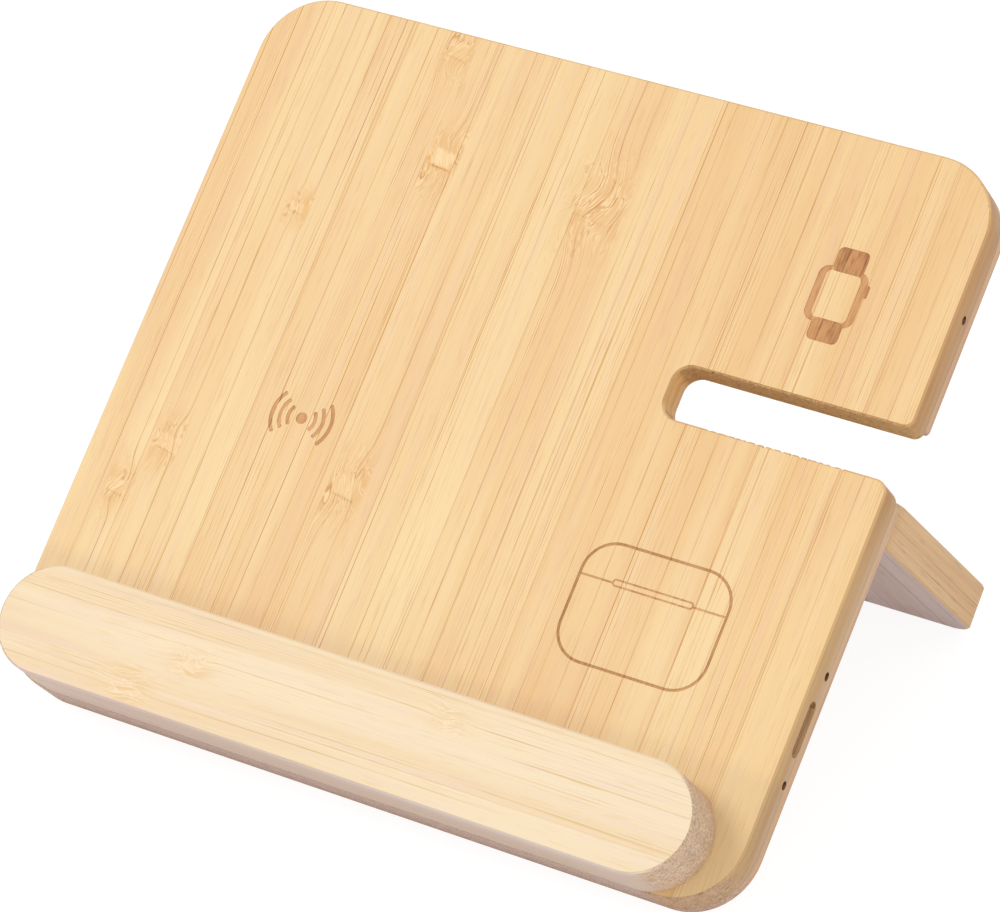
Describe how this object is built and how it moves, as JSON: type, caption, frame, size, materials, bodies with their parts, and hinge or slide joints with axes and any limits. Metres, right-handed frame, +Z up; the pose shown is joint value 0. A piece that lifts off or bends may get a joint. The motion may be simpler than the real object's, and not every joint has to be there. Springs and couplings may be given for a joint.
{
  "type": "leaning wireless charging stand",
  "caption": "Leaning bamboo charging stand for a phone, an earbuds case and a watch, with a rail that carries them, a strap slot and a folding rear leg.",
  "frame": {"origin": "on the desk, below the middle of the whole stand with its leg open", "axes": "+X to the right along the rail, +Y to the back, +Z up; the panel's face looks to -Y and up"},
  "size_m": [0.17, 0.137, 0.1089],
  "materials": {
    "panel_bamboo": "laminated bamboo, planed and clear oiled, grain up the panel",
    "rail_bamboo": "paler laminated bamboo, clear oiled, grain along the rail",
    "leg_bamboo": "laminated bamboo, clear oiled, grain along the leg",
    "screw_steel": "zinc plated steel",
    "hinge_brass": "brass plated, satin",
    "coil_copper": "enamelled copper wire",
    "ferrite": "dark grey sintered ferrite",
    "lead_sleeve": "soft insulated lead",
    "magnet_nickel": "nickel plated magnet",
    "board_laminate": "green solder mask",
    "socket_steel": "drawn stainless steel",
    "black_plastic": "black moulded plastic",
    "capacitor_ceramic": "tan ceramic",
    "light_lens": "clear light emitting diode"
  },
  "bodies": {
    "panel": {"front_panel": "panel_bamboo", "back_cover": "panel_bamboo", "front_rail": "rail_bamboo", "rail_screws": "screw_steel", "cover_screws": "screw_steel", "phone_coil": "coil_copper", "phone_ferrite": "ferrite", "phone_lead": "lead_sleeve", "earbuds_coil": "coil_copper", "earbuds_ferrite": "ferrite", "earbuds_lead": "lead_sleeve", "watch_coil": "coil_copper", "watch_ferrite": "ferrite", "watch_magnet": "magnet_nickel", "watch_lead": "lead_sleeve", "circuit_board": "board_laminate", "socket_shell": "socket_steel", "socket_tongue": "black_plastic", "controller_chips": "black_plastic", "power_inductors": "ferrite", "tuning_capacitors": "capacitor_ceramic", "phone_light": "light_lens", "earbuds_light": "light_lens", "watch_board": "board_laminate", "watch_light": "light_lens", "left_hinge_fixed_leaf": "hinge_brass", "right_hinge_fixed_leaf": "hinge_brass", "left_hinge_pin": "hinge_brass", "right_hinge_pin": "hinge_brass", "hinge_cover_screws": "hinge_brass"},
    "leg": {"rear_leg": "leg_bamboo", "left_hinge_leg_leaf": "hinge_brass", "right_hinge_leg_leaf": "hinge_brass", "hinge_leg_screws": "hinge_brass"}
  },
  "joints": [
    {"name": "leg_fold", "type": "hinge", "parent": "panel", "child": "leg", "pos_m": [0, 0.00928, 0.05151], "axis": [-1, 0, 0], "range_deg": [0, 93]}
  ]
}
